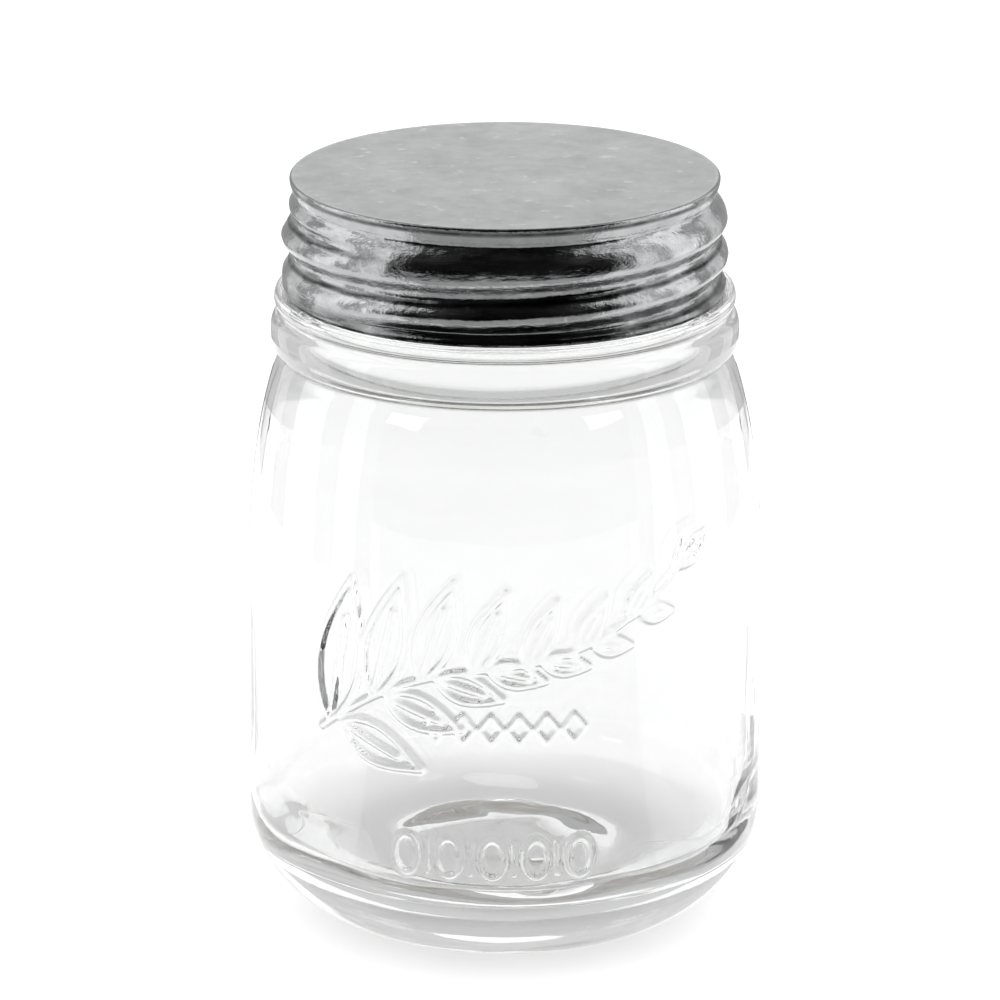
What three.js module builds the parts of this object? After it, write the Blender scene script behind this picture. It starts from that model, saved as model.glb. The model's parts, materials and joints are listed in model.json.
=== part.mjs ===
// Mason jar with a one-piece zinc screw cap.
// Millimetres, +Z up. The origin is on the jar's axis, in the plane it stands on.
import * as THREE from 'three';

// Driving dimensions.
const overallHeight = 124;        // from the table to the top of the cap
const turnSegments = 40;          // flats round each turned piece
const gap = 0.3;                  // between pieces that touch

// Body of the glass jar, from the table up to the end of its shoulder.
const wall = 2.9;
const bodyRadius = 42;            // widest, just above the heel
const bodyTopRadius = 41.7;       // where the shoulder starts
const heel = { centreRadius: 17, width: 25, centreZ: 18.5, height: 19 };
const shoulder = { startZ: 56, inset: 12.8, height: 48, endZ: 94.2 };
const shoulderRows = 6;
const standRadius = 20;           // inner edge of the ring that the jar stands on
const pushUp = { radius: 16, height: 2.6 };   // raised middle of the underside
const floorRound = 6;             // round between the inside wall and the floor
const insideFloor = { z: 13.5, middleRadius: 15, middleRise: 0.5 };

// Neck of the glass jar: crease, bead, groove, thin ring outside the cap's edge, and mouth.
const crease = { radius: 36.2, z: 95.3 };
const bead = { radius: 37.6, z: 98.9, width: 1.4, halfHeight: 2.5 };
const groove = { radius: 36.3, z: 102.5 };
const ring = { radius: 37, z: 104.5, width: 0.5, halfHeight: 0.9 };
const ledge = { outer: 36.05, inner: 34.4, z: 104.3 };  // channel under the cap's edge
const mouthRadius = 29.9;         // inside of the neck
const throatZ = 101;              // where the mouth starts to widen into the shoulder
const throatWidening = [[30.9, 97.5], [32.4, 94.5]];
const neckRadius = 32.8;          // outside of the neck, between the threads
const lipRadius = 32.5;           // outside of the mouth's lip
const lipRound = 0.9;

// Screw thread, right-handed, shared by the jar and the cap.
const pitch = 6.2;
const threadSteps = 6;            // rows of facets in one pitch
const grooveDepthAtFront = 11.1;  // cap's rolled groove at -Y, below the cap's top
const grooveSpan = [-420, 335];   // degrees of turn from -Y over which the groove runs
const grooveInset = 1.65;
const grooveHalfWidth = 3.1;      // the groove and the ridge between its turns are one even wave
const threadLead = 2;             // glass thread lies this much above the cap's groove
const threadSpan = [-350, 110];
const threadHeight = 1.7;
const threadHalfWidth = 1.3;
const fade = 35;                  // degrees over which a thread dies out

// Zinc cap.
const sheet = 0.45;
const capHeight = 18.8;
const rim = { radius: 34.4, round: 0.5, depth: 2 };
const capRadius = 35.75;          // over the thread's crests
const crimp = { radius: 33.7, depth: 3.2 };   // groove under the rim that holds the liner
const skirtTop = [34.9, 4.5];     // radius and depth of the step from the crimp to the thread
const threadTopDepth = 6.2;       // first row of the thread, below the cap's top
const curl = { radius: 35.35, height: 1, round: 0.5 };     // rolled lower edge
const curlClearance = 0.3;        // plain sheet between the curl and the thread

// Liner and sealing ring.
const linerThickness = 1.8;
const linerRadius = rim.radius - sheet - gap;
const linerChamfer = 0.4;
const gasketThickness = 1.4;
const gasketOuter = 32.8;
const gasketInner = 30;

// Heights that follow from the stack under the cap's top.
const linerTop = overallHeight - sheet - gap;
const linerBottom = linerTop - linerThickness;
const gasketTop = linerBottom - gap;
const gasketBottom = gasketTop - gasketThickness;
const lipZ = gasketBottom - gap;

const glass = new THREE.MeshStandardMaterial({
  color: 0xf2f6f5, roughness: 0.03, metalness: 0, transparent: true, opacity: 0.35,
});
const zinc = new THREE.MeshStandardMaterial({ color: 0x9a9c9c, roughness: 0.35, metalness: 1 });
const opal = new THREE.MeshStandardMaterial({ color: 0xf0efea, roughness: 0.15, metalness: 0 });
const rubber = new THREE.MeshStandardMaterial({ color: 0xd8cfbd, roughness: 0.7, metalness: 0 });

const point = (radius, z) => new THREE.Vector2(radius, z);

// A smooth bump: 1 in the middle, 0 at a distance of halfWidth and beyond.
function bump(distance, halfWidth) {
  const t = Math.abs(distance) / halfWidth;
  return t < 1 ? Math.cos(t * Math.PI / 2) ** 2 : 0;
}

// An elliptical arc about (radius, z), between two angles in degrees from the outward direction.
function arc(radius, z, width, height, from, to, steps) {
  return Array.from({ length: steps + 1 }, (_, i) => {
    const angle = THREE.MathUtils.degToRad(from + (to - from) * i / steps);
    return point(radius + width * Math.cos(angle), z + height * Math.sin(angle));
  });
}

// Evenly spaced heights from one to another, both included.
function heights(from, to, count) {
  return Array.from({ length: count + 1 }, (_, i) => from + (to - from) * i / count);
}

// Height at a given turn, in degrees from -Y, of the helix that the cap's groove follows.
const helixZ = (turn) => overallHeight - grooveDepthAtFront + pitch * turn / 360;

// How strongly a helical bead is felt at a height and a turn. It dies out over its two ends.
function helicalBead(z, turn, [start, end], halfWidth, lift) {
  let strength = 0;
  for (let wound = turn - 720; wound <= turn + 360; wound += 360) {
    const ends = Math.min(wound - start, end - wound) / fade;
    const strong = THREE.MathUtils.smoothstep(ends, 0, 1);
    strength = Math.max(strength, strong * bump(z - helixZ(wound) - lift, halfWidth));
  }
  return strength;
}

// Turns a closed profile round the Z axis. reshape may move each point's radius by its turn.
function turned(profile, reshape) {
  const geometry = new THREE.LatheGeometry(profile, turnSegments);
  const position = geometry.attributes.position;
  for (let i = 0; reshape && i < position.count; i++) {
    const column = Math.floor(i / profile.length) % turnSegments;
    const turn = 360 * column / turnSegments;
    const z = position.getY(i);
    const radius = Math.hypot(position.getX(i), position.getZ(i));
    if (radius > 0) {
      const scale = (radius + reshape(radius, z, turn)) / radius;
      position.setX(i, position.getX(i) * scale);
      position.setZ(i, position.getZ(i) * scale);
    }
  }
  geometry.rotateX(Math.PI / 2);
  geometry.computeVertexNormals();
  return geometry;
}

// Rows at the thread's own spacing, from one height towards another.
function rows(fromZ, toZ, radius) {
  const count = Math.round(Math.abs(toZ - fromZ) / pitch * threadSteps);
  return heights(fromZ, toZ, count).map((z) => point(radius, z));
}

// Outside of the body's shoulder: an ellipse that leaves the wall upright.
function shoulderRadius(z) {
  const t = (z - shoulder.startZ) / shoulder.height;
  return bodyTopRadius - shoulder.inset * (1 - Math.sqrt(1 - t * t));
}

function jar() {
  const standAngle = Math.asin(-heel.centreZ / heel.height) / Math.PI * 180;
  const insideRadius = bodyRadius - wall;
  const shoulderHeights = heights(shoulder.startZ, shoulder.endZ, shoulderRows);
  const outsideUp = [
    point(0, pushUp.height),
    point(pushUp.radius, pushUp.height),
    point(standRadius, 0),
    ...arc(heel.centreRadius, heel.centreZ, heel.width, heel.height, standAngle, 0, 8),
    ...shoulderHeights.map((z) => point(shoulderRadius(z), z)),
    point(crease.radius, crease.z),
    ...arc(bead.radius - bead.width, bead.z, bead.width, bead.halfHeight, -60, 60, 4),
    point(groove.radius, groove.z),
    ...arc(ring.radius - ring.width, ring.z, ring.width, ring.halfHeight, -60, 90, 4),
    point(ledge.outer, ledge.z),
    point(ledge.inner, ledge.z),
    ...rows(ledge.z, lipZ - 2 * lipRound, neckRadius),
    ...arc(lipRadius - lipRound, lipZ - lipRound, lipRound, lipRound, 0, 90, 2),
  ];
  const insideDown = [
    ...arc(mouthRadius + lipRound, lipZ - lipRound, lipRound, lipRound, 90, 180, 2),
    point(mouthRadius, throatZ),
    ...throatWidening.map(([radius, z]) => point(radius, z)),
    ...shoulderHeights.reverse().slice(1).map((z) => point(shoulderRadius(z) - wall, z)),
    ...arc(insideRadius - floorRound, insideFloor.z + floorRound, floorRound, floorRound, 0, -90, 5),
    point(insideFloor.middleRadius, insideFloor.z + insideFloor.middleRise),
    point(0, insideFloor.z + insideFloor.middleRise),
  ];
  const inNeck = (radius, z) => radius > lipRadius && radius < ledge.inner && z > ledge.z;
  return turned([...outsideUp, ...insideDown], (radius, z, turn) =>
    (inNeck(radius, z) ? threadHeight * helicalBead(z, turn, threadSpan, threadHalfWidth, threadLead) : 0));
}

function capShell() {
  const top = overallHeight;
  const bottom = top - capHeight;
  const firstRow = top - threadTopDepth;
  const lastRow = bottom + curl.height + curlClearance;
  const outside = [
    point(0, top),
    ...arc(rim.radius - rim.round, top - rim.round, rim.round, rim.round, 90, 0, 3),
    point(rim.radius, top - rim.depth),
    point(crimp.radius, top - crimp.depth),
    point(skirtTop[0], top - skirtTop[1]),
    ...rows(firstRow, lastRow, capRadius),
    ...arc(curl.radius - curl.round, bottom + curl.height / 2, curl.round, curl.height / 2, 80, -90, 4),
  ];
  const inside = [
    point(curl.radius - curl.round, bottom + gap),
    ...rows(lastRow, firstRow, capRadius - sheet),
    point(skirtTop[0] - sheet, top - skirtTop[1]),
    point(crimp.radius - sheet, top - crimp.depth),
    point(rim.radius - sheet, top - rim.depth),
    point(rim.radius - sheet, top - sheet),
    point(0, top - sheet),
  ];
  const isThreaded = (radius) => radius > capRadius - 1.2 * sheet;
  const aboveCurl = (z) => THREE.MathUtils.smoothstep(z, bottom + curl.height / 2, lastRow + curlClearance);
  return turned([...outside, ...inside].reverse(), (radius, z, turn) => (isThreaded(radius)
    ? -grooveInset * aboveCurl(z) * helicalBead(z, turn, grooveSpan, grooveHalfWidth, 0) : 0));
}

function liner() {
  return turned([
    point(0, linerBottom),
    point(linerRadius - linerChamfer, linerBottom),
    point(linerRadius, linerBottom + linerChamfer),
    point(linerRadius, linerTop - linerChamfer),
    point(linerRadius - linerChamfer, linerTop),
    point(0, linerTop),
  ]);
}

function gasket() {
  return turned([
    point(gasketInner, gasketBottom),
    point(gasketOuter, gasketBottom),
    point(gasketOuter, gasketTop),
    point(gasketInner, gasketTop),
    point(gasketInner, gasketBottom),
  ]);
}

function piece(name, geometry, material) {
  const mesh = new THREE.Mesh(geometry, material);
  mesh.name = name;
  return mesh;
}

const masonJar = new THREE.Group();
masonJar.add(
  piece('glass_jar', jar(), glass),
  piece('sealing_gasket', gasket(), rubber),
  piece('lid_liner', liner(), opal),
  piece('lid_shell', capShell(), zinc),
);

export default masonJar;
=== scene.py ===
import json
import math

import bpy
import numpy as np
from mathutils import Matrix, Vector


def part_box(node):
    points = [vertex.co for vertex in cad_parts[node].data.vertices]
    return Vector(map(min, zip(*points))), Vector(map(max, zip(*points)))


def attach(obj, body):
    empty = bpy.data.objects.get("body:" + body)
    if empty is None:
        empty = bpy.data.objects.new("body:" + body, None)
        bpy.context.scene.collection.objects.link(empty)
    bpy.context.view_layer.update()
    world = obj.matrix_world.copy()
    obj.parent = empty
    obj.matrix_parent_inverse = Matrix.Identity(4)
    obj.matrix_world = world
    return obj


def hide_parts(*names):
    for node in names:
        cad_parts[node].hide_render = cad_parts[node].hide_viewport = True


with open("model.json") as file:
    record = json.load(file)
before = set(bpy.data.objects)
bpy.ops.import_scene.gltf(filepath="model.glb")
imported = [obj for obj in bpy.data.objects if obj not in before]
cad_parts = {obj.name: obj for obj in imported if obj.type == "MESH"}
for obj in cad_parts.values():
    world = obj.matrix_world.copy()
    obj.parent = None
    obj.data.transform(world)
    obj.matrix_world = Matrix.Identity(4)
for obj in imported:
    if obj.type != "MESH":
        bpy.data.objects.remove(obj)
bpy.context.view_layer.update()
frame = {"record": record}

mm = 0.001

# ---------------------------------------------------------------------------------------------
# The jar. Clear soda-lime glass, blown in a two-part mould and left to cool without grinding:
# its outside takes the mould's shape, with the screw thread, the bead, the thin ring over it,
# the raised sprig and the two mould seams, and its inside is only roughly even.
# ---------------------------------------------------------------------------------------------
_, jar_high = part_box("glass_jar")
cap_low, cap_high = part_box("lid_shell")
body_radius = jar_high.x / mm
lip_z = jar_high.z / mm
cap_top_z = cap_high.z / mm
wall = 2.9
mouth_radius = 29.9
neck_radius = 32.8
stand_inner, stand_outer = 20.0, 22.7
push_up = 2.6
floor_z = 13.5
heel_centre_radius, heel_centre_z, heel_height = 17, 18.5, 19
shoulder_start, shoulder_end = 56, 94.2
shoulder_inset, shoulder_height = 12.8, 48
side_taper = 0.3          # the body is this much narrower where the shoulder starts
thread_height, thread_half_width = 1.7, 1.3
thread_start, thread_end = -350, 110      # degrees of turn from the front
groove_depth = 11.1       # the cap's rolled groove at the front, below the cap's top
thread_lead = 2           # the glass thread lies this much above that groove
pitch = frame["record"]["behaviour"]["couplings"][0]["ratio"] * 2 * math.pi / mm


def smooth(t):
    t = np.clip(t, 0, 1)
    return t * t * (3 - 2 * t)


def arc(radius, z, width, height, start, end, steps):
    """Points of an elliptical arc about (radius, z). Angles are in degrees from straight outwards."""
    turn = np.radians(np.linspace(start, end, steps + 1))
    return list(zip(radius + width * np.cos(turn), z + height * np.sin(turn)))


def straight(start, end, step):
    """Points from start to end, a step apart, without the last one."""
    count = max(1, round(math.dist(start, end) / step))
    return [tuple(np.array(start) + (np.array(end) - np.array(start)) * i / count) for i in range(count)]


def rounded(points, rounds=2):
    """Eases the corners of a run of points by cutting them, keeping both ends."""
    line = np.array(points, float)
    for _ in range(rounds):
        inner = np.empty((2 * len(line) - 2, 2))
        inner[0::2] = line[:-1] * 0.75 + line[1:] * 0.25
        inner[1::2] = line[:-1] * 0.25 + line[1:] * 0.75
        line = np.vstack([line[:1], inner, line[-1:]])
    return [tuple(p) for p in line]


def helix_strength(z, turn, centre_z, first, last, half_width, fade=35):
    """How strongly a right-hand screw bead is felt. centre_z is its height at the front, and turn
    is in degrees. fade is the angle over which its two ends die out."""
    strength = np.zeros_like(z)
    for wound in (turn - 720, turn - 360, turn, turn + 360):
        ends = smooth(np.minimum(wound - first, last - wound) / fade)
        off = np.abs(z - centre_z - pitch * wound / 360) / half_width
        strength = np.maximum(strength, ends * np.where(off < 1, np.cos(off * math.pi / 2) ** 2, 0))
    return strength


def turned(name, profile, turns, reshape=None):
    """A closed mesh spun about Z from a profile in mm that runs up the outside and down the inside.

    turns are the columns' angles in degrees from the front. reshape gives new radii and heights."""
    radius, z = np.array(profile, float).T
    on_axis = radius < 1e-6
    grid_r, grid_turn = np.meshgrid(radius, np.array(turns, float))
    grid_z = np.tile(z, (len(turns), 1))
    if reshape:
        grid_r, grid_z = reshape(grid_r, grid_z, grid_turn)
    angle = np.radians(grid_turn)
    points = np.stack([grid_r * np.sin(angle), -grid_r * np.cos(angle), grid_z], axis=-1) * mm
    index = np.arange(points.shape[0] * points.shape[1]).reshape(points.shape[:2])
    index[:, on_axis] = index[0, on_axis]
    used, index = np.unique(index, return_inverse=True)
    index = index.reshape(points.shape[:2])
    around = np.roll(index, -1, axis=0)
    following = np.roll(index, -1, axis=1)
    corner = np.roll(around, -1, axis=1)
    faces = np.stack([index, around, corner, following], axis=-1)
    if on_axis.any():
        faces = faces[:, :-1]
    shapes = [tuple(dict.fromkeys(face)) for face in faces.reshape(-1, 4).tolist()]
    mesh = bpy.data.meshes.new(name)
    mesh.from_pydata(points.reshape(-1, 3)[used].tolist(), [], shapes)
    mesh.polygons.foreach_set("use_smooth", [True] * len(mesh.polygons))
    mesh.update()
    piece = bpy.data.objects.new(name, mesh)
    bpy.context.collection.objects.link(piece)
    return piece


def shoulder_radius(z):
    climbed = (z - shoulder_start) / shoulder_height
    return body_radius - side_taper - shoulder_inset * (1 - math.sqrt(1 - climbed ** 2))


def jar_profile():
    rise = math.degrees(math.asin(-heel_centre_z / heel_height))
    underside = [(0, push_up), (8, push_up), (12, push_up * 0.9), (16, push_up * 0.45),
                 (18.8, push_up * 0.09), (stand_inner + 0.6, 0), (stand_outer - 1, 0)]
    heel = arc(heel_centre_radius, heel_centre_z, body_radius - heel_centre_radius, heel_height,
               rise + 2.5, 0, 40)
    side = straight((body_radius, heel_centre_z + 0.4), (body_radius - side_taper, shoulder_start), 0.36)
    upper = [(shoulder_radius(z), z) for z in np.arange(shoulder_start, 78, 0.36)]
    shoulder = [(shoulder_radius(z), z) for z in np.linspace(78, shoulder_end, 18)]
    bead = [(36.3, 94.9), (36.15, 95.4), (36.5, 95.9), (37.45, 96.5), (37.7, 98.2), (37.65, 100.0),
            (37.2, 101.3), (36.45, 102.0), (36.2, 102.5), (36.35, 103.0)]
    thin_ring = [(36.9, 103.3), (37.1, 104.2), (36.95, 105.1), (36.55, 105.5), (36.15, 105.35),
                 (36.05, 104.8), (35.8, 104.3), (33.6, 104.2), (neck_radius, 104.7)]
    neck = straight((neck_radius, 105.0), (neck_radius, lip_z - 1.6), 0.3)
    lip = arc(32.5 - 1.2, lip_z - 1.1, 1.2, 1.1, 5, 90, 6)
    lip += arc(mouth_radius + 1, lip_z - 1, 1, 1, 90, 180, 6)
    throat = rounded([(mouth_radius, lip_z - 3), (mouth_radius, 107), (mouth_radius, 101.5), (30.8, 98),
                      (32.4, 94.5), (34.8, 90.3), (36.3, 86)], rounds=3)
    inner_shoulder = [(shoulder_radius(z) - wall, z) for z in np.linspace(84, shoulder_start, 18)]
    inner_side = straight((body_radius - wall, 54), (body_radius - wall, 21), 1.5)
    inner_heel = arc(body_radius - wall - 6, floor_z + 6.4, 6, 6.4, 0, -80, 20)
    inner_floor = rounded([(31.5, floor_z), (26, floor_z - 0.5), (20, floor_z - 0.3), (14, floor_z + 0.3),
                           (9, floor_z + 0.5), (0, floor_z + 0.5)])
    return (rounded(underside) + heel + side + upper + shoulder + rounded(bead + thin_ring) + neck + lip
            + throat + inner_shoulder + inner_side + inner_heel + inner_floor)


def stroke_distance(x, z, line):
    """Distance from each place (x, z) to a drawn line of points."""
    best = np.full(x.shape, 1e9)
    for (x0, z0), (x1, z1) in zip(line[:-1], line[1:]):
        run, climb = x1 - x0, z1 - z0
        t = np.clip(((x - x0) * run + (z - z0) * climb) / max(run * run + climb * climb, 1e-9), 0, 1)
        best = np.minimum(best, np.hypot(x - x0 - t * run, z - z0 - t * climb))
    return best


def stem_point(t):
    """The sprig's stem, from the lower left to the upper right, in mm round the jar and up it."""
    return np.array([-32 + 62 * t, 41.5 + 27 * t + 3.0 * math.sin(2 * math.pi * t)])


def leaf_strokes(foot, heading, length, width):
    """A pointed leaf: its two edges and its midrib."""
    ahead = np.array([math.cos(math.radians(heading)), math.sin(math.radians(heading))])
    aside = np.array([-ahead[1], ahead[0]])
    steps = np.linspace(0, 1, 13)
    edges = [[foot + ahead * length * t + aside * side * width / 2 * math.sin(math.pi * t ** 0.8)
              for t in steps] for side in (1, -1)]
    return edges + [[foot + ahead * length * 0.08, foot + ahead * length * 0.72]]


def sprig_strokes():
    """A stem with seven pairs of leaves, the largest at its foot."""
    strokes = [[stem_point(t) for t in np.linspace(0, 1, 25)]]
    for i in range(7):
        t = 0.03 + 0.135 * i
        foot = stem_point(t)
        length = 8 + 17 * (1 - i / 6) ** 1.5
        strokes += leaf_strokes(foot, 80 - 4 * i, length, length * 0.33)
        lower_foot = foot + np.array([2.5, 0.4])
        strokes += leaf_strokes(lower_foot, -22 + 3 * i, length * 0.55 + 1.5, length * 0.2 + 1)
    return strokes + leaf_strokes(stem_point(1), 38, 9, 4)


def lozenge_strokes():
    """A row of six small lozenges under the sprig."""
    corners = [(0, 2.3), (1.8, 0), (0, -2.3), (-1.8, 0), (0, 2.3)]
    return [[(x + across, 44.8 + up) for across, up in corners] for x in np.linspace(-11, 11, 6)]


def arcade_strokes():
    """A row of small upright rings with a bar between each two, low on the body."""
    strokes = []
    for i, x in enumerate(np.linspace(-16, 12, 9)):
        if i % 2:
            strokes.append([(x, 20.6), (x, 25.8)])
        else:
            turn = np.linspace(0, 2 * math.pi, 17)
            strokes.append(list(zip(x + 2.0 * np.cos(turn), 23.2 + 3.2 * np.sin(turn))))
    return strokes


def raised(x, z, strokes, half_width, height):
    """Height of the raised lines, with a flat top and steep sides."""
    lift = np.zeros_like(x)
    for line in strokes:
        lift = np.maximum(lift, smooth((half_width + 0.3 - stroke_distance(x, z, line)) / 0.6))
    return lift * height


def mould_jar(radius, z, turn):
    """Adds to the plain spun jar what the mould and the blowing leave."""
    turn_near = (turn + 180) % 360 - 180
    arc_x = np.radians(turn_near) * body_radius
    row = np.arange(radius.shape[1])
    lip_row = int(np.argmax(z[0]))
    outside = np.broadcast_to(row <= lip_row, radius.shape)
    lift = np.zeros_like(radius)
    front = outside & (np.abs(arc_x) < 42) & (z > 17) & (z < 80) & (radius > 30)
    for strokes, half_width, height in ((sprig_strokes(), 0.55, 0.75), (lozenge_strokes(), 0.35, 0.5),
                                        (arcade_strokes(), 0.38, 0.55)):
        lift[front] = np.maximum(lift[front], raised(arc_x[front], z[front], strokes, half_width, height))
    seam = np.exp(-((np.abs(turn_near) - 90) / 0.45) ** 2)
    seam = seam * (radius > stand_outer + 2) * (z < shoulder_end - 1)
    lift += outside * 0.12 * seam
    in_neck = outside & (z > 104.9) & (radius < 33.5)
    lift += in_neck * thread_height * helix_strength(
        z, turn, cap_top_z - groove_depth + thread_lead, thread_start, thread_end, thread_half_width)
    around = np.radians(turn)
    uneven = (0.12 * np.sin(2 * around + 0.05 * z) + 0.07 * np.sin(3 * around - 0.08 * z + 1.3)
              + 0.05 * np.sin(5 * around + 0.06 * z + 0.5))
    low_side = smooth((z - 12) / 20) * smooth((104 - z) / 12)
    lift += np.where(outside, 0.1 * uneven * smooth((z - 20) / 15) * smooth((94 - z) / 8), uneven * low_side)
    near_floor = ~outside * smooth((radius - 20) / 10) * smooth((28 - z) / 8)
    lift += near_floor * (0.5 * np.sin(3 * around + 0.4) + 0.35 * np.sin(5 * around + 2)
                          + 0.2 * np.sin(8 * around) - 0.2)
    sag = 0.25 * np.sin(2 * around + 0.12 * radius) + 0.15 * np.sin(5 * around - 0.2 * radius + 1)
    new_z = z + ~outside * (z < floor_z + 4) * sag * smooth(radius / 10) * smooth((38 - radius) / 6)
    scale = np.where(radius > 1e-6, (radius + lift) / np.maximum(radius, 1e-6), 1)
    return radius * scale, new_z


def jar_turns():
    """Columns of the jar's mesh: close together over the raised sprig and at the seams."""
    front = np.arange(-54, 54, 0.45)
    back = np.arange(54, 306, 2.5)
    seams = [s + d for s in (90, 270) for d in (-1.2, -0.8, -0.4, 0, 0.4, 0.8, 1.2)]
    plain = [t for t in back if min(abs(t - 90), abs(t - 270)) > 1.6]
    return np.array(sorted([*front, *plain, *seams]))


def new_material(name):
    material = bpy.data.materials.new(name)
    material.use_nodes = True
    nodes = material.node_tree.nodes
    return material, nodes, material.node_tree.links, nodes["Principled BSDF"]


def noise(nodes, links, scale, detail=3, stretch=(1, 1, 1), roughness=0.5):
    """Noise laid out in the piece's own space. scale is in lumps per metre."""
    place = nodes.new("ShaderNodeTexCoord")
    size = nodes.new("ShaderNodeMapping")
    size.inputs["Scale"].default_value = stretch
    texture = nodes.new("ShaderNodeTexNoise")
    texture.inputs["Scale"].default_value = scale
    texture.inputs["Detail"].default_value = detail
    texture.inputs["Roughness"].default_value = roughness
    links.new(place.outputs["Object"], size.inputs["Vector"])
    links.new(size.outputs["Vector"], texture.inputs["Vector"])
    return texture.outputs["Fac"]


def ramp(nodes, links, value, stops):
    """Turns a 0 to 1 value into colours or greys: stops are (place, colour) pairs."""
    node = nodes.new("ShaderNodeValToRGB")
    node.color_ramp.elements[0].position, node.color_ramp.elements[1].position = stops[0][0], stops[-1][0]
    for place, _ in stops[1:-1]:
        node.color_ramp.elements.new(place)
    for element, (_, colour) in zip(node.color_ramp.elements, stops):
        element.color = colour if isinstance(colour, tuple) else (colour, colour, colour, 1)
    links.new(value, node.inputs["Fac"])
    return node.outputs["Color"]


def bump(nodes, links, height, distance, strength=1.0, after=None):
    node = nodes.new("ShaderNodeBump")
    node.inputs["Strength"].default_value = strength
    node.inputs["Distance"].default_value = distance
    links.new(height, node.inputs["Height"])
    if after is not None:
        links.new(after, node.inputs["Normal"])
    return node.outputs["Normal"]


def clear_glass():
    """Clear glass with the slow waves and faint flow marks of blown ware. Lamp light passes it."""
    material, nodes, links, glass = new_material("clear blown glass")
    glass.inputs["Base Color"].default_value = (0.872, 0.876, 0.874, 1)
    glass.inputs["IOR"].default_value = 1.52
    glass.inputs["Transmission Weight"].default_value = 1
    slow = noise(nodes, links, 45, 1, (1, 1, 0.5))
    marks = noise(nodes, links, 300, 2, (1, 1, 0.3))
    waves = bump(nodes, links, slow, 0.0003)
    links.new(bump(nodes, links, marks, 0.000012, after=waves), glass.inputs["Normal"])
    haze = noise(nodes, links, 90, 4)
    links.new(ramp(nodes, links, haze, [(0.45, 0.0), (0.75, 0.035)]), glass.inputs["Roughness"])
    ray = nodes.new("ShaderNodeLightPath")
    light_or_bounce = nodes.new("ShaderNodeMath")
    light_or_bounce.operation = "MAXIMUM"
    links.new(ray.outputs["Is Shadow Ray"], light_or_bounce.inputs[0])
    links.new(ray.outputs["Is Diffuse Ray"], light_or_bounce.inputs[1])
    passing = nodes.new("ShaderNodeBsdfTransparent")
    passing.inputs["Color"].default_value = (1, 1, 1, 1)
    mix = nodes.new("ShaderNodeMixShader")
    links.new(light_or_bounce.outputs["Value"], mix.inputs["Fac"])
    links.new(glass.outputs["BSDF"], mix.inputs[1])
    links.new(passing.outputs["BSDF"], mix.inputs[2])
    links.new(mix.outputs["Shader"], nodes["Material Output"].inputs["Surface"])
    tint = nodes.new("ShaderNodeVolumeAbsorption")
    tint.inputs["Color"].default_value = (0.40, 0.415, 0.405, 1)
    tint.inputs["Density"].default_value = 1.5
    links.new(tint.outputs["Volume"], nodes["Material Output"].inputs["Volume"])
    return material


jar = turned("blown_jar", jar_profile(), jar_turns(), mould_jar)
jar.data.materials.append(clear_glass())
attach(jar, "jar")
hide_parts("glass_jar")

# ---------------------------------------------------------------------------------------------
# The sealing ring. Cream rubber, moulded, with two fine ribs on each face. It lies loose on the
# jar's lip, and the cap presses the liner down on it.
# ---------------------------------------------------------------------------------------------
ring_low, ring_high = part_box("sealing_gasket")
ring_inner = 30.0


def ring_profile():
    outer, bottom, top = ring_high.x / mm, ring_low.z / mm, ring_high.z / mm
    middle, half, corner = (ring_inner + outer) / 2, (outer - ring_inner) / 2, 0.3
    across = np.linspace(middle + half - corner, middle - half + corner, 25)
    rib = 0.12 * np.maximum(0, np.cos((across - middle) / half * 2 * math.pi + math.pi)) ** 2
    upper = [(r, top - 0.12 + h) for r, h in zip(across, rib)]
    lower = [(r, bottom + 0.12 - h) for r, h in zip(across[::-1], rib[::-1])]
    side_out = arc(outer - corner, (top + bottom) / 2, corner, (top - bottom) / 2 - 0.14, -80, 80, 8)
    side_in = arc(ring_inner + corner, (top + bottom) / 2, corner, (top - bottom) / 2 - 0.14, 100, 260, 8)
    return side_out + upper + side_in + lower


def cream_rubber():
    """Matt rubber with a trace of talc left from its mould."""
    material, nodes, links, rubber = new_material("cream rubber")
    talc = noise(nodes, links, 260, 5)
    links.new(ramp(nodes, links, talc, [(0.3, (0.56, 0.48, 0.35, 1)), (0.7, (0.70, 0.63, 0.50, 1))]),
              rubber.inputs["Base Color"])
    links.new(ramp(nodes, links, talc, [(0.3, 0.55), (0.7, 0.8)]), rubber.inputs["Roughness"])
    links.new(bump(nodes, links, noise(nodes, links, 1800, 3), 0.00004), rubber.inputs["Normal"])
    return material


ring = turned("rubber_ring", ring_profile(), np.arange(0, 360, 2))
ring.data.materials.append(cream_rubber())
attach(ring, "ring")
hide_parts("sealing_gasket")

# ---------------------------------------------------------------------------------------------
# The liner. A pressed disc of white opal glass that keeps food off the zinc. Three rings are
# moulded in its underside, and the groove rolled under the cap's rim holds it in.
# ---------------------------------------------------------------------------------------------
liner_low, liner_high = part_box("lid_liner")


def liner_profile():
    radius, bottom, top = liner_high.x / mm, liner_low.z / mm, liner_high.z / mm
    across = np.linspace(0, radius - 0.6, 120)
    rings = sum(0.22 * np.exp(-((across - r) / 0.55) ** 2) for r in (9, 18, 27))
    under = [(r, bottom + 0.24 - h) for r, h in zip(across, rings)]
    edge = arc(radius - 0.6, (bottom + 0.24 + top) / 2, 0.6, (top - bottom - 0.24) / 2, -90, 90, 12)
    return under + edge[1:] + [(r, top) for r in (28, 18, 8, 0)]


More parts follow.
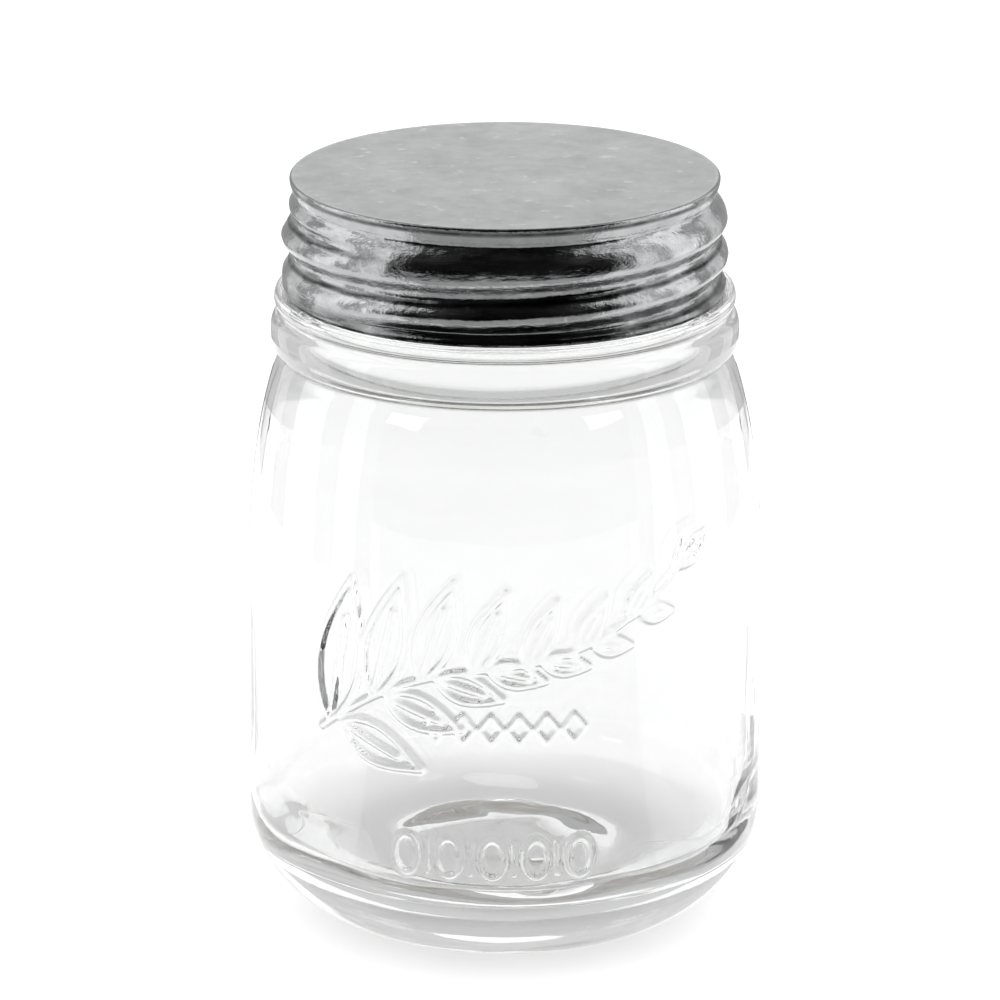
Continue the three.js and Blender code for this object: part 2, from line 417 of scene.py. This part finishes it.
def opal_glass():
    """White opal glass: it glows a little inside, and its face has a soft pressed ripple."""
    material, nodes, links, opal = new_material("white opal glass")
    cloud = noise(nodes, links, 70, 4)
    links.new(ramp(nodes, links, cloud, [(0.3, (0.86, 0.85, 0.80, 1)), (0.7, (0.92, 0.915, 0.89, 1))]),
              opal.inputs["Base Color"])
    opal.inputs["Subsurface Weight"].default_value = 0.35
    opal.inputs["Subsurface Radius"].default_value = (0.004, 0.0036, 0.003)
    opal.inputs["Subsurface Scale"].default_value = 0.4
    opal.inputs["Coat Weight"].default_value = 0.4
    opal.inputs["Coat Roughness"].default_value = 0.08
    links.new(ramp(nodes, links, noise(nodes, links, 180, 3), [(0.3, 0.12), (0.7, 0.24)]),
              opal.inputs["Roughness"])
    links.new(bump(nodes, links, noise(nodes, links, 120, 2), 0.0003), opal.inputs["Normal"])
    return material


liner = turned("opal_liner", liner_profile(), np.arange(0, 360, 2))
liner.data.materials.append(opal_glass())
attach(liner, "liner")
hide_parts("lid_liner")

# ---------------------------------------------------------------------------------------------
# The cap. One piece of sheet zinc, drawn to a cup. A groove is rolled in under the rim, the
# screw thread is rolled in below it, and the lower edge is curled. Handling leaves it uneven.
# ---------------------------------------------------------------------------------------------
cap_radius = cap_high.x / mm
sheet = 0.45
rim_radius = 34.4
crimp_radius = 33.7
groove_inset, groove_half_width = 1.55, 3.1
groove_start, groove_end = -420, 335      # degrees of turn from the front
crease_below = 0.9        # fine crease left by the rolling wheel, under the middle of the groove


def cap_profile():
    top, bottom = cap_top_z, cap_low.z / mm
    inner = cap_radius - sheet
    rim_inner, crimp_inner = rim_radius - sheet, crimp_radius - sheet
    inside = rounded([(20, top - sheet), (rim_inner - 0.5, top - sheet), (rim_inner, top - sheet - 0.3),
                      (rim_inner, top - 2.2), (crimp_inner, top - 3.1), (crimp_inner, top - 3.5),
                      (inner - 1.0, top - 4.6), (inner - 0.35, top - 5.8), (inner, top - 7.6)])
    inside += straight((inner, top - 7.7), (inner, bottom + 1.2), 0.3)
    inside += [(35.05, bottom + 0.9), (34.95, bottom + 0.5)]
    curl = rounded([(34.92, bottom + 0.15), (35.1, bottom), (35.45, bottom + 0.15), (35.52, bottom + 0.5),
                    (35.4, bottom + 0.85), (cap_radius - 0.2, bottom + 1.1), (cap_radius, bottom + 1.4)])
    skirt = straight((cap_radius, bottom + 1.5), (cap_radius, top - 7.9), 0.2)
    flank = rounded([(cap_radius, top - 7.9), (cap_radius - 0.06, top - 6.9), (cap_radius - 0.3, top - 5.8),
                     (cap_radius - 0.85, top - 4.7), (crimp_radius + 0.35, top - 3.75),
                     (crimp_radius, top - 3.25), (crimp_radius, top - 2.9), (crimp_radius + 0.25, top - 2.3),
                     (rim_radius - 0.15, top - 1.3), (rim_radius - 0.02, top - 0.75)], rounds=3)
    rim = arc(rim_radius - 0.4, top - 0.4, 0.4, 0.4, 0, 90, 8)
    crown = [(r, top) for r in np.linspace(rim_radius - 0.8, 0, 40)]
    return [(0, top - sheet)] + inside + curl + skirt + flank[1:] + rim + crown


def roll_cap(radius, z, turn):
    """Rolls the screw thread into the skirt as one even wave with a fine crease in its groove, and
    leaves the sheet a little out of true."""
    around = np.radians(turn)
    depth = cap_top_z - z
    in_skirt = (radius > 33) * smooth((depth - 3.4) / 2.8) * smooth((18.1 - depth) / 1.2)
    groove = groove_inset * in_skirt * helix_strength(
        z, turn, cap_top_z - groove_depth, groove_start, groove_end, groove_half_width)
    groove -= 0.25 * in_skirt * helix_strength(
        z, turn, cap_top_z - groove_depth - crease_below, groove_start, groove_end, 0.6)
    dents = (0.03 * np.sin(6 * around + 0.3 * depth) + 0.03 * np.sin(11 * around - 0.3 * depth + 2)
             + 0.02 * np.sin(19 * around + 0.5 * depth + 1) + 0.016 * np.sin(37 * around - 0.4 * depth)
             + 0.009 * np.sin(61 * around + 0.9 * depth + 3))
    below_rim = smooth((depth - 0.8) / 1.5) * smooth((18.6 - depth) / 1.5)
    return radius - groove + dents * below_rim * (radius > 30), z


def mark_wear_and_painted_shade(cap):
    """Marks the scuffed crown, and painted shade: near black in the fine crease, under the rim and along the
    lower edge, half as dark on the lower skirt.
    """
    x, y, z = np.array([vertex.co for vertex in cap.data.vertices]).T / mm
    turn, depth = np.degrees(np.arctan2(x, -y)) % 360, cap_top_z - z
    # Painted shade: these masks darken the zinc to near black where shade falls, in the fine crease, under
    # the rim and along the lower edge, and by half over the lower skirt.
    crease = helix_strength(z, turn, cap_top_z - groove_depth - crease_below, groove_start, groove_end, 0.75)
    crease = crease * smooth((depth - 5) / 1)
    under_rim = 0.95 * np.maximum(0, 1 - np.abs(depth - 0.95) / 0.5) ** 0.5
    edge = smooth((depth - 18.0) / 0.3)
    darker_lower_skirt = 0.5 * smooth((depth - 15.6) / 1.6)
    at_side = np.hypot(x, y) > crimp_radius - 0.1
    painted_shade = np.where(at_side, np.maximum.reduce([crease, under_rim, edge, darker_lower_skirt]), 0)
    crown = smooth((rim_radius - 0.3 - np.hypot(x, y)) / 0.8) * (depth < 0.1)
    cap.data.attributes.new("painted_shade", "FLOAT", "POINT").data.foreach_set("value", painted_shade.astype(np.float32))
    cap.data.attributes.new("crown", "FLOAT", "POINT").data.foreach_set("value", crown.astype(np.float32))


def worn_zinc_with_painted_shade():
    """Dull zinc: faint grey clouds, streaks along the turning, pale flecks, and painted shade, near black,
    in the creases, under the rim and along the lower edge.
    """
    material, nodes, links, zinc = new_material("worn sheet zinc")
    zinc.inputs["Metallic"].default_value = 1
    clouds = ramp(nodes, links, noise(nodes, links, 240, 5, (1, 1, 1.5), 0.65),
                  [(0.3, (0.34, 0.345, 0.35, 1)), (0.5, (0.405, 0.41, 0.415, 1)),
                   (0.7, (0.46, 0.465, 0.465, 1))])
    flecks = ramp(nodes, links, noise(nodes, links, 330, 3), [(0.63, 0.0), (0.70, 0.6)])
    skin = nodes.new("ShaderNodeMixRGB")
    skin.inputs["Color2"].default_value = (0.62, 0.625, 0.62, 1)
    links.new(flecks, skin.inputs["Fac"])
    links.new(clouds, skin.inputs["Color1"])
    crown, painted_shade = nodes.new("ShaderNodeAttribute"), nodes.new("ShaderNodeAttribute")
    crown.attribute_name, painted_shade.attribute_name = "crown", "painted_shade"
    rubbed = nodes.new("ShaderNodeMixRGB")
    rubbed.blend_type = "ADD"
    rubbed.inputs["Color2"].default_value = (0.235, 0.235, 0.235, 1)
    links.new(crown.outputs["Fac"], rubbed.inputs["Fac"])
    links.new(skin.outputs["Color"], rubbed.inputs["Color1"])
    patchy = nodes.new("ShaderNodeMath")
    patchy.operation = "MULTIPLY"
    links.new(painted_shade.outputs["Fac"], patchy.inputs[0])
    links.new(ramp(nodes, links, noise(nodes, links, 220, 4, (1, 1, 1.5)), [(0.35, 0.7), (0.6, 1.0)]),
              patchy.inputs[1])
    # Painted shade: near black is laid into the base colour where the painted shade mask is, broken up by
    # noise.
    painted_shade_mix = nodes.new("ShaderNodeMixRGB")
    painted_shade_mix.inputs["Color2"].default_value = (0.012, 0.012, 0.012, 1)
    links.new(patchy.outputs["Value"], painted_shade_mix.inputs["Fac"])
    links.new(rubbed.outputs["Color"], painted_shade_mix.inputs["Color1"])
    links.new(painted_shade_mix.outputs["Color"], zinc.inputs["Base Color"])
    streaks = noise(nodes, links, 210, 5, (0.6, 0.6, 2.2), 0.6)
    scuffed = nodes.new("ShaderNodeMixRGB")
    links.new(crown.outputs["Fac"], scuffed.inputs["Fac"])
    links.new(ramp(nodes, links, streaks, [(0.35, 0.09), (0.65, 0.2)]), scuffed.inputs["Color1"])
    links.new(ramp(nodes, links, noise(nodes, links, 90, 5), [(0.35, 0.5), (0.65, 0.6)]),
              scuffed.inputs["Color2"])
    links.new(scuffed.outputs["Color"], zinc.inputs["Roughness"])
    rolled = bump(nodes, links, noise(nodes, links, 190, 5, (0.8, 0.8, 1.9), 0.7), 0.0002)
    links.new(bump(nodes, links, noise(nodes, links, 800, 4), 0.00003, after=rolled), zinc.inputs["Normal"])
    return material


cap = turned("zinc_cap", cap_profile(), np.arange(0, 360, 0.75), roll_cap)
mark_wear_and_painted_shade(cap)
cap.data.materials.append(worn_zinc_with_painted_shade())
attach(cap, "cap")
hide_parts("lid_shell")

# ---------------------------------------------------------------------------------------------
# The table and the studio. A white table in a white room with a soft lamp overhead, and round
# the jar a tent of curved cards that only shiny surfaces show: black in front, bright at the sides.
# ---------------------------------------------------------------------------------------------
tent_radius, tent_height = 0.33, 0.5


def white_paper():
    material, nodes, links, paper = new_material("white table")
    links.new(ramp(nodes, links, noise(nodes, links, 40, 3), [(0.3, 0.93), (0.7, 0.95)]),
              paper.inputs["Base Color"])
    paper.inputs["Roughness"].default_value = 0.9
    paper.inputs["Specular IOR Level"].default_value = 0
    return material


def glowing_card(name, points, faces, glow):
    """A card that only shiny surfaces show, with its own even glow."""
    mesh = bpy.data.meshes.new(name)
    mesh.from_pydata(points, [], faces)
    card = bpy.data.objects.new(name, mesh)
    bpy.context.collection.objects.link(card)
    material = bpy.data.materials.new(name)
    material.use_nodes = True
    nodes = material.node_tree.nodes
    nodes.remove(nodes["Principled BSDF"])
    light = nodes.new("ShaderNodeEmission")
    light.inputs["Color"].default_value = (1, 1, 1, 1)
    light.inputs["Strength"].default_value = glow
    material.node_tree.links.new(light.outputs["Emission"], nodes["Material Output"].inputs["Surface"])
    card.data.materials.append(material)
    card.visible_camera = False
    card.visible_diffuse = False
    card.visible_transmission = False
    card.visible_shadow = False
    return card


def curved_card(name, start, end, near, far, bottom, top, glow):
    """Part of a ring round the jar. start and end are degrees from the front, near and far its
    radius at the bottom and at the top edge."""
    turns = np.radians(np.arange(start, end + 1, 2))
    lower = [(near * math.sin(t), -near * math.cos(t), bottom) for t in turns]
    upper = [(far * math.sin(t), -far * math.cos(t), top) for t in turns]
    count = len(turns)
    faces = [(i, i + 1, count + i + 1, count + i) for i in range(count - 1)]
    return glowing_card(name, lower + upper, faces, glow)


bpy.ops.mesh.primitive_circle_add(vertices=128, radius=12, fill_type="NGON", location=(0, 0, -0.0003))
table = bpy.context.object
table.name = "table"
table.data.materials.append(white_paper())

curved_card("grey_apron", -54, 54, 0.07, tent_radius, 0.002, 0.002, 0.6)
curved_card("grey_front", -54, 54, tent_radius, tent_radius, 0.002, 0.05, 0.5)
curved_card("black_front", -58, 58, tent_radius, tent_radius, 0.05, tent_height, 0.0)
curved_card("black_front_top", -58, 58, tent_radius, 0.1, tent_height, 0.8, 0.0)
curved_card("back", 166, 194, tent_radius, tent_radius, 0, tent_height, 0.9)
for side, name in ((-1, "left"), (1, "right")):
    for start, end, glow in ((58, 66, 0.35), (66, 78, 1.5), (78, 90, 0.6), (90, 112, 1.7), (112, 126, 0.5),
                             (126, 140, 1.1), (140, 166, 0.45)):
        first, last = sorted((side * start, side * end))
        curved_card(f"{name}_{start}", first, last, tent_radius, tent_radius, 0, tent_height, glow)
    box = [(side * x, y, z) for x, y, z in ((0.36, -0.30, 0.46), (0.44, -0.16, 0.46), (0.36, -0.12, 0.58),
                                            (0.28, -0.26, 0.58))]
    glowing_card(f"{name}_softbox", box, [(0, 1, 2, 3)], 4.0).visible_transmission = True

lamp_data = bpy.data.lights.new("overhead_lamp", "AREA")
lamp_data.shape = "DISK"
lamp_data.size = 0.5
lamp_data.energy = 25
lamp = bpy.data.objects.new("overhead_lamp", lamp_data)
lamp.location = (0, 0, 2.2)
lamp.visible_camera = False
lamp.visible_glossy = False
bpy.context.collection.objects.link(lamp)

room = bpy.data.worlds.new("white_room")
bpy.context.scene.world = room
room.use_nodes = True
room_nodes, room_links = room.node_tree.nodes, room.node_tree.links
direction = room_nodes.new("ShaderNodeTexCoord")
height = room_nodes.new("ShaderNodeSeparateXYZ")
room_links.new(direction.outputs["Generated"], height.inputs["Vector"])
walls = ramp(room_nodes, room_links, height.outputs["Z"],
             [(0.0, 0.72), (0.25, 0.66), (0.6, 0.5), (1.0, 0.45)])
ray = room_nodes.new("ShaderNodeLightPath")
seen_shiny = room_nodes.new("ShaderNodeMath")
seen_shiny.operation = "MAXIMUM"
room_links.new(ray.outputs["Is Glossy Ray"], seen_shiny.inputs[0])
room_links.new(ray.outputs["Is Transmission Ray"], seen_shiny.inputs[1])
shade = room_nodes.new("ShaderNodeMixRGB")
shade.inputs["Color1"].default_value = (0.86, 0.86, 0.86, 1)
room_links.new(seen_shiny.outputs["Value"], shade.inputs["Fac"])
room_links.new(walls, shade.inputs["Color2"])
room_links.new(shade.outputs["Color"], room_nodes["Background"].inputs["Color"])
room_nodes["Background"].inputs["Strength"].default_value = 1.05

camera_data = bpy.data.cameras.new("camera")
camera_data.lens = 209.5
camera_data.shift_x = -0.005
camera_data.clip_end = 30
camera = bpy.data.objects.new("camera", camera_data)
camera.location = (0, -0.9, 0.35674)
camera.rotation_euler = (math.radians(90 - 17.71), 0, 0)
bpy.context.collection.objects.link(camera)
bpy.context.scene.camera = camera

bpy.context.scene.view_settings.view_transform = "Standard"
bpy.context.scene.cycles.max_bounces = 64
bpy.context.scene.cycles.transmission_bounces = 48
bpy.context.scene.cycles.glossy_bounces = 48
bpy.context.scene.cycles.transparent_max_bounces = 16
